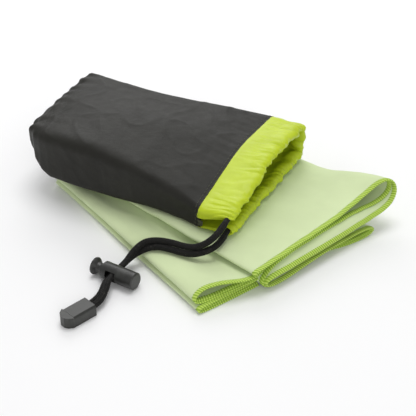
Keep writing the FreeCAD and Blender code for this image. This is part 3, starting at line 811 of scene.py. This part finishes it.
def make_overlock(rows):
    """The overlocked hem: slanted loops of thread wrapped over each ply's front edge."""
    sides = len(HEM_SECTION)
    step = 0.3
    points, faces, uvs = [], [], []
    for near_rows, sign in ((rows[:HEM_ROWS], 1), (rows[::-1][:HEM_ROWS], -1)):
        near_rows, at = along_edge(near_rows, step)
        along = unit(np.gradient(near_rows[0], axis=0))
        frames = hem_frames(near_rows, {depth for depth, _ in HEM_SECTION})
        rings = []
        for depth, tall in HEM_SECTION:
            place, inward = frames[depth]
            inward = unit(inward - along * (inward * along).sum(1, keepdims=True))
            normal = np.cross(along, inward) * sign
            slant = 2 * math.pi * (at / OVERLOCK_STITCH + depth * HEM_SLANT * np.sign(tall))
            loop = np.abs(np.cos(slant / 2))
            ridge = 0.66 + 0.62 * loop
            reach = 0.25 * loop - 0.1 if depth > 2.4 else -0.18 * loop * (depth < 0)
            rings.append(place + inward * reach[:, None] + normal * (tall * ridge)[:, None])
        start = sum(len(p) for p in points)
        points.append(np.stack(rings, 1).reshape(-1, 3))
        lean = [d * HEM_SLANT * OVERLOCK_STITCH * np.sign(t) for d, t in HEM_SECTION]
        stripe = at[:, None] + np.array(lean)
        depth_row = np.broadcast_to([d for d, _ in HEM_SECTION], stripe.shape)
        uvs.append(np.stack([stripe, depth_row], -1).reshape(-1, 2) * MM)
        faces.append(grid_faces(len(at), sides, wrap_columns=True, first=start))
        for ring in (start, start + (len(at) - 1) * sides):
            for k in range(sides // 2 - 1):
                far = ring + sides - 1 - k
                faces.append(np.array([[ring + k, ring + k + 1, far - 1, far]]))
    points = placed(np.concatenate(points))
    return mesh_from("towel_overlock", points, np.concatenate(faces), OVERLOCK, np.concatenate(uvs))


towel, cloth_rows = make_towel()
finish_piece(towel, "towel", "towel")
overlock = make_overlock(cloth_rows)
outward(overlock)
finish_piece(overlock, "towel", "towel_overlock_hem")

# ---- the pouch ----

POUCH = np.array([-112.0, 5.0, 16.5])  # its own origin in the layout
BODY_LENGTH = 129.0
NYLON_THICKNESS = 0.35
FLOOR_GAP = 0.12  # the least height of the nylon above the pouch's own zero

# Sections across the pouch: how far each is from the closed end, then its five corners
# (across, height), and how far back from each corner its rounding starts.  The corners are
# the near bottom, far bottom, far top, crown and near top.
STATIONS = (
    (-2.0, ((-26, 21.4), (40, 28.6), (40, 29.4), (4, 26.6), (-26, 22.2)), (0.4, 0.4, 0.4, 8, 0.4)),
    (0.3, ((-29.5, 17.6), (40.4, 26), (40.4, 30.2), (4, 28.4), (-29.5, 23.4)), (2.4, 1, 1, 20, 2.4)),
    (3, ((-34, 11.4), (41.2, 18), (41.2, 30.4), (4, 30), (-34, 25.4)), (4, 4, 3, 30, 5)),
    (8, ((-38.2, 5.2), (42, 8.5), (42, 30.6), (4, 31), (-38.2, 27.4)), (5, 8, 5, 40, 8)),
    (14, ((-40.4, 1.8), (42.6, 3.6), (42.4, 30.6), (4, 31.5), (-40.4, 28.2)), (5, 9, 7, 40, 9)),
    (20, ((-41.5, 0.4), (43, 1.0), (42.5, 30.6), (4, 31.8), (-41.5, 28.6)), (5, 9, 8, 40, 10)),
    (40, ((-42.5, 0.3), (44, 0.3), (43, 30.2), (4, 31.4), (-42, 28.8)), (4, 9, 9, 40, 10)),
    (60, ((-42.3, 0.3), (44.5, 0.3), (43.5, 29.8), (4, 31), (-42, 28)), (4, 9, 9, 40, 10)),
    (80, ((-43, 0.3), (46, 0.3), (45.5, 29), (4.5, 30.4), (-43, 25.5)), (4, 9, 9, 40, 10)),
    (100, ((-44, 0.3), (49, 0.3), (48.6, 28), (5, 29.5), (-44, 21)), (4, 8, 9, 40, 9)),
    (116, ((-45.5, 0.3), (52.3, 0.3), (52, 26.5), (5, 28), (-45.5, 17.2)), (3, 9, 9, 40, 8)),
    (129, ((-47.5, 0.3), (54.5, 0.3), (54.5, 25.5), (5, 26.5), (-47.5, 13.5)), (2, 10, 10, 40, 6)),
)
SAG = 2.4  # how far the near edge hangs where nothing lies under it


def in_pouch(points):
    """Points of the pouch's own frame as metres in the row frame."""
    return placed(np.reshape(points, (-1, 3)) + POUCH)


def station(place):
    """Corners and corner setbacks of the pouch at a distance from its closed end."""
    places, corners, setbacks = zip(*STATIONS)
    corners = between(place, places, np.reshape(corners, (len(places), -1)))
    return corners.reshape(-1, 2), between(place, places, setbacks)


def outline(place, count):
    """Even points round the pouch's rounded section, anticlockwise, and its whole length.

    The first and the last are the same point, beside the near bottom corner.
    """
    corners, setbacks = station(place)
    controls = []
    for k, corner in enumerate(corners):
        for other in (corners[k - 1], corner, corners[(k + 1) % len(corners)]):
            way = other - corner
            distance = max(np.linalg.norm(way), 1e-9)
            controls.append(corner + way / distance * min(setbacks[k] * 1.7, distance * 0.48))
    controls = np.array(controls)
    after = np.roll(controls, -1, 0)
    f = np.linspace(0, 1, 16, endpoint=False)[:, None]
    pieces = []
    for k in range(len(controls)):
        a = (controls[k - 1] + controls[k]) / 2
        b = (controls[k] + after[k]) / 2
        pieces.append(a * (1 - f) ** 2 + controls[k] * 2 * f * (1 - f) + b * f**2)
    loop = np.concatenate(pieces + [pieces[0][:1]])
    run = run_along(loop)
    return between(np.linspace(0, 1, count) * run[-1], run, loop), run[-1]


def section_normals(points):
    """The way outwards at each point of a closed section."""
    along = unit(np.roll(points, -1, 0) - np.roll(points, 1, 0))
    return np.stack([along[:, 1], -along[:, 0]], 1)


def scallop(y):
    """The ruffle of the end seam: soft waves of uneven length and height."""
    shifted = y + 4.5 * uneven(y * 0.045, 3.3, 0.4)
    height = 0.75 + 0.9 * uneven(y * 0.05, 8.1, 1.7)
    return height * math.sin(shifted * 0.62 + 0.4)


def creases(place, y, z):
    """How far the nylon stands in or out, in millimetres."""
    soft = 1.1 * uneven(place * 0.024 + 4.2, y * 0.026 + 0.3, z * 0.045 + 1.1)
    turned = (place * 0.05 + y * 0.02 + 0.7, y * 0.06 - place * 0.02 + 5.5, z * 0.05 + 3.2)
    fold = 1 - abs(uneven(*turned)) * 2
    ridge = 0.35 * fold**3
    fine = 0.10 * uneven(place * 0.18, y * 0.16, z * 0.16)
    end = 0.7 * math.exp(-max(place, 0) / 7) * scallop(y) * min(1.0, max(place + 2, 0) / 3)
    to_mouth = max(BODY_LENGTH - place, 0)
    around = y * 0.9 - z * 0.6
    pucker = uneven(around * 0.34, to_mouth * 0.03, 6.2)
    mouth = 0.75 * math.exp(-to_mouth / 12) * min(1.0, to_mouth / 5) * pucker
    fade = min(1.0, max(place, 0) / 12) * min(1.0, to_mouth / 10)
    return (soft + ridge + fine - 0.35) * fade + end + mouth


def calmed(z):
    """The share of its creases that the nylon keeps near what it lies on."""
    return 0.25 + 0.75 * min(1.0, z / 6.0)


def sag(place, y, z):
    """How far the bag hangs at its near edge, off the side of the stack under it."""
    along = smooth_share((place - 6) / 14) * (1 - smooth_share((place - 62) / 38))
    across = smooth_share((-26 - y) / 12)
    return SAG * along * across * (1 - smooth_share(z / 16))


def make_pouch():
    """The nylon bag: a thin hollow shell, puckered at its end seam and at the collar."""
    around, along = ((280, 130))
    places = -2.0 + (BODY_LENGTH + 2.6) * (np.linspace(0, 1, along) ** 1.15)
    rows, run = [], []
    for place in places:
        points, length = outline(place, around + 1)
        points = points[:-1]
        normals = section_normals(points)
        row = []
        for (y, z), (ny, nz) in zip(points, normals):
            out = creases(place, y, z) * calmed(z)
            height = max(z + nz * out, 0.15) - sag(place, y, z)
            ruffle = scallop(y) * math.exp(-max(place, 0) / 4) * min(1, (place + 2) / 2 + 0.6)
            row.append((place - 0.9 * ruffle, y + ny * out, height))
        rows.append(row)
        run.append(np.linspace(0, length, around))
    grid = np.array(rows)
    uv = np.stack([np.repeat(places[:, None], around, 1), np.array(run)], -1) * MM
    faces = [*grid_faces(along, around, wrap_columns=True), range(around)]
    piece = mesh_from("pouch_shell", in_pouch(grid), faces, NYLON, uv)
    thicken(piece, NYLON_THICKNESS * MM, -1.0)
    outward(piece)
    return piece


def gather(run, place, seed):
    """The gathers of the collar: broad, slanting and none alike."""
    slant = 0.5 * uneven(run * 0.035, seed, 0) - 0.22
    lean = run + (place - BODY_LENGTH) * slant
    wide = uneven(lean * 0.085, place * 0.02, seed)
    fold = 1 - 2 * abs(uneven(lean * 0.13, place * 0.03, seed + 3.0))
    small = uneven(lean * 0.42, place * 0.09, seed + 8.0)
    return 1.7 * wide + 1.25 * fold**3 + 0.75 * small - 0.3


# A lip's section: distance from the closed end and depth inwards, turned in round its rim.
LIP_SECTION = (
    (128.4, -0.12), (130, -0.1), (132, -0.02), (134.5, 0.10), (137, 0.22), (139, 0.30), (141, 0.22),
    (143.5, 0.02), (146, -0.05), (148.4, 0.35), (149.8, 1.35), (150.1, 2.6), (149.7, 3.7),
    (148.2, 4.7), (146, 5.1), (143.6, 4.6), (141.4, 3.2), (139.4, 2.1), (137, 1.7), (134, 1.5),
    (130, 1.35), (127, 1.3), (126.4, 0.9), (127, 0.5),
)
SLIT_ROOT = {True: (-47.5, 7.2), False: (-47.5, 0.3)}  # of the upper and the lower lip
SLIT_RISE = 5.0  # how much higher the upper lip ends at the rim than at the slit's root
FAR_HEIGHT = 12.4  # where the two lips meet on the far side
TUNNEL_PLACE, TUNNEL_DEPTH = 146.3, 2.6
UPPER_SEED, LOWER_SEED = 1.0, 6.0


def lip_line(upper, count):
    """The outer line of a lip round the section, from its slit end to the far side."""
    dense, _ = outline(BODY_LENGTH, 1441)
    far = int(np.argmin(np.abs(dense[:, 1] - FAR_HEIGHT) + 10 * (dense[:, 0] < 40)))
    start = int(np.argmin(np.hypot(*(dense - SLIT_ROOT[upper]).T)))
    if upper:
        part = dense[far : start + 1][::-1]
    else:
        if start > far:
            start = 0
        part = dense[start : far + 1]
    run = run_along(part)
    at = np.linspace(0, run[-1], count)
    return between(at, run, part), at


def lip_ways(upper, count):
    """The lip's outer line with the way inwards and the distance along at each point."""
    line, run = lip_line(upper, count)
    along = unit(np.gradient(line, axis=0))
    inward = np.stack([-along[:, 1], along[:, 0]], 1)
    return line, -inward if upper else inward, run


def lip_shift(run, total, place, depth, seed):
    """How far a point of a lip moves inwards: its gathers, flat where it is sewn or slit."""
    grow = smooth_share((place - 129.5) / 7) * (0.75 + 0.45 * smooth_share((place - 137) / 11))
    pinch = 1 - 0.4 * math.exp(-(((place - 139.5) / 2.4) ** 2))
    wave = gather(run, place, seed) * grow * pinch * (1 - 0.6 * math.exp(-run / 5.0))
    far = 0.6 * math.exp(-(total - run) / 8.0)
    return depth + wave * 0.85 + far


def lip_rim(run, seed):
    """How far a lip's rim stands in or out at a distance along it."""
    return 0.9 * gather(run * 0.9 + 11, 150, seed + 5)


def make_lip(name, upper, seed):
    """One gathered lip of the collar, turned in over the drawcord's tunnel."""
    count = 320
    line, inward, run = lip_ways(upper, count)
    section = np.array(LIP_SECTION, float)
    rows = []
    for k in range(count):
        row = []
        rim = lip_rim(run[k], seed)
        for place, depth in section:
            cut = SLIT_RISE * smooth_share((place - 131) / 13) if upper else 0
            at = run[k] + cut * math.exp(-run[k] / 9)
            shift = lip_shift(run[k], run[-1], place, depth, seed)
            y, z = between(at, run, line) + between(at, run, inward) * shift
            lean = rim * smooth_share((place - 137) / 12)
            row.append((place + lean, y, max(z, FLOOR_GAP)))
        rows.append(row)
    grid = np.array(rows)
    faces = tube_faces(count, len(section))
    uv = np.stack(np.meshgrid(run_along(section), run), -1) * MM
    piece = mesh_from(name, in_pouch(grid), faces, LIME, uv)
    outward(piece)
    return piece


def make_tunnel_cord():
    """The drawcord inside the collar: in through the upper lip at the slit, round, and back."""
    count, sides, radius = 90, 14, CORD_DIAMETER / MM / 2 * 0.98
    halves = []
    for upper, seed in ((True, UPPER_SEED), (False, LOWER_SEED)):
        line, inward, run = lip_ways(upper, count)
        half = []
        for k in range(5 if upper else 2, count - 3):
            shift = lip_shift(run[k], run[-1], 146, TUNNEL_DEPTH, seed)
            rim = lip_rim(run[k], seed) * smooth_share((146 - 137) / 12)
            half.append((TUNNEL_PLACE + rim, *(line[k] + inward[k] * shift)))
        halves.append(half)
    ends = [np.array(route[0]) - POUCH for route in (UPPER_ROUTE, LOWER_ROUTE)]
    points = np.array([ends[0], *halves[0], *halves[1][::-1], ends[1]])
    line, _ = spaced(points, 1.2)
    for _ in range(4):
        line[1:-1] = (line[:-2] + 2 * line[1:-1] + line[2:]) / 4
    rings = tube_along(line, radius, sides, (1, 0, 0.02))
    faces = tube_faces(len(line), sides)
    return mesh_from("drawcord_tunnel", in_pouch(rings), faces, BRAID)


pouch = make_pouch()
finish_piece(pouch, "pouch", "pouch_body")
for lip_name, is_upper, lip_seed in (
    ("collar_upper", True, UPPER_SEED), ("collar_lower", False, LOWER_SEED),
):
    lip = make_lip(lip_name, is_upper, lip_seed)
    finish_piece(lip, "pouch", lip_name + "_lip")
tunnel_cord = make_tunnel_cord()
outward(tunnel_cord)
finish_piece(tunnel_cord, "pouch", "drawcord_tunnel_run")


def stitch_row(places, normals, length, width, rise):
    """Short rounded stitches, one at each place, along the line of the places."""
    sides, rings = 6, 5
    section = np.linspace(0, 2 * math.pi, sides, endpoint=False)
    points, faces = [], []
    along = unit(np.gradient(places, axis=0))
    for place, way, normal in zip(places, along, normals):
        across = np.cross(way, normal)
        faces += tube_faces(rings, sides, first=len(points))
        for share in np.linspace(-1, 1, rings):
            bulge = math.sqrt(max(1 - share**2, 0.04))
            middle = place + way * share * length / 2 + normal * rise * bulge * 0.5
            for angle in section:
                out = across * math.cos(angle) + normal * math.sin(angle) * 0.8
                points.append(middle + out * width * bulge)
    return np.array(points), faces


STITCH_SPACING = 2.7


def make_topstitch():
    """Two rings of separate stitches just behind the collar."""
    all_points, all_faces = np.zeros((0, 3)), []
    for setback in (1.0, 2.8):
        place = BODY_LENGTH - setback
        count = int(outline(place, 2)[1] / STITCH_SPACING)
        loop = outline(place, count + 1)[0][:-1]
        normal = section_normals(loop)
        rows = []
        for (y, z), (ny, nz) in zip(loop, normal):
            out = creases(place, y, z) * calmed(z) + 0.05
            rows.append((place, y + ny * out, max(z + nz * out, 0.3)))
        flat = np.concatenate([np.zeros((count, 1)), normal], 1)
        points, faces = stitch_row(np.array(rows), flat, 1.9, 0.2, 0.16)
        all_faces += [[i + len(all_points) for i in face] for face in faces]
        all_points = np.concatenate([all_points, points])
    return mesh_from("collar_topstitching", in_pouch(all_points), all_faces, DARK_THREAD)


topstitch = make_topstitch()
outward(topstitch)
finish_piece(topstitch, "pouch", "collar_topstitch")


def make_bartack():
    """The dense bar of stitches at the slit's root."""
    threads, rings, sides = 14, 9, 6
    wide, tall = 2.4, 3.4
    start = np.array((BODY_LENGTH - 0.4, -47.4, 4.4))
    share = np.linspace(-0.5, 0.5, rings)
    points, faces = [], []
    for k in range(threads):
        lean = 0.35 if k % 2 else -0.35
        arc = np.stack([lean * share, 0.5 * np.cos(3.1 * share) - 0.6, share * tall], 1)
        line = start + (wide * k / (threads - 1), 0, 0) + arc
        faces += tube_faces(rings, sides, first=len(points))
        points += tube_along(line, 0.2, sides, (1, 0, 0.01)).reshape(-1, 3).tolist()
    return mesh_from("slit_bartack_stitches", in_pouch(points), faces, DARK_THREAD)


bartack = make_bartack()
outward(bartack)
finish_piece(bartack, "pouch", "slit_bartack")


def make_end_seam():
    """The turned and overcast edge of the closed end, ruffled by its stitching."""
    count, sides, (near, far) = 200, 10, (-25.6, 39.2)
    y = np.linspace(near, far, count)
    wave = np.array([scallop(v) for v in y])
    height = np.interp(y, (-26, 4, 40), (21.8, 25.9, 29.0))
    middle = np.stack([-2.1 - 0.75 * wave, y, height + 0.25 * wave], 1)
    radius = (0.6 + 0.05 * np.sin(y * 3.7)) * np.clip((33 - np.abs(y - 7)) / 3, 0.25, 1)
    rings = tube_along(middle, radius, sides, (0, 0, 1))
    return mesh_from("pouch_end_piping", in_pouch(rings), tube_faces(count, sides), NYLON)


end_seam = make_end_seam()
outward(end_seam)
finish_piece(end_seam, "pouch", "pouch_end_seam")


SEAM_SECTION = ((0, -1.5), (0.9, -0.5), (1.5, 0.1), (0.9, 0.6), (0, 1.5))  # across, height


def make_side_seam():
    """The overcast seam allowance along the inside of the near wall."""
    count = 160
    rows = []
    for place in np.linspace(24, 127, count):
        corners, _ = station(place)
        across = corners[0][0] + 0.9
        middle = (corners[0][1] + corners[4][1]) / 2
        wave = 0.25 * math.sin(place * 1.9)
        rows += [(place, across + a, middle + b + wave * a) for a, b in SEAM_SECTION]
    faces = tube_faces(count, len(SEAM_SECTION))
    return mesh_from("pouch_side_seam_allowance", in_pouch(rows), faces, NYLON)


side_seam = make_side_seam()
outward(side_seam)
finish_piece(side_seam, "pouch", "pouch_side_seam")

# ---- carried-over CAD parts ----

for fitting in FITTING_NAMES:
    for material_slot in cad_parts[fitting].material_slots:
        material_slot.material = PLASTIC

# ---- floor and light ----


FLOOR_HALF = 3.0


def make_floor():
    """The white floor that the object lies on."""
    data = bpy.data.meshes.new("floor")
    corners = [(x * FLOOR_HALF, y * FLOOR_HALF, 0) for x, y in ((-1, -1), (1, -1), (1, 1), (-1, 1))]
    data.from_pydata(corners, [], [(0, 1, 2, 3)])
    m = Nodes("floor_white")
    stops = [(0.2, (0.90, 0.90, 0.905)), (0.8, (0.93, 0.93, 0.935))]
    m.colour(m.ramp(m.noise(m.where(), 3.0, 1.0), stops))
    m.plain(Roughness=0.9, Specular_IOR_Level=0.1)
    link_object("floor", data, m.material)


def add_area(name, place, aim, size_m, watts):
    """A round soft light at a place, turned to its aim."""
    data = bpy.data.lights.new(name, "AREA")
    data.shape = "DISK"
    data.size = size_m
    data.energy = watts
    light = link_object(name, data)
    light.location = place
    light.rotation_euler = (Vector(aim) - Vector(place)).to_track_quat("-Z", "Y").to_euler()


make_floor()
world = bpy.data.worlds.new("studio")
bpy.context.scene.world = world
world.use_nodes = True
background = world.node_tree.nodes["Background"]
background.inputs["Color"].default_value = (1.0, 1.0, 1.0, 1)
background.inputs["Strength"].default_value = 0.48
add_area("key", (-0.1, 0.25, 1.3), (0, 0, 0), 0.8, 7.8)
add_area("back", (-0.6, 0.9, 0.75), (0, 0, 0.02), 0.9, 5.0)
add_area("fill", (0.7, -0.8, 0.45), (0, 0, 0.02), 0.6, 2.5)
bpy.context.scene.view_settings.view_transform = "Standard"
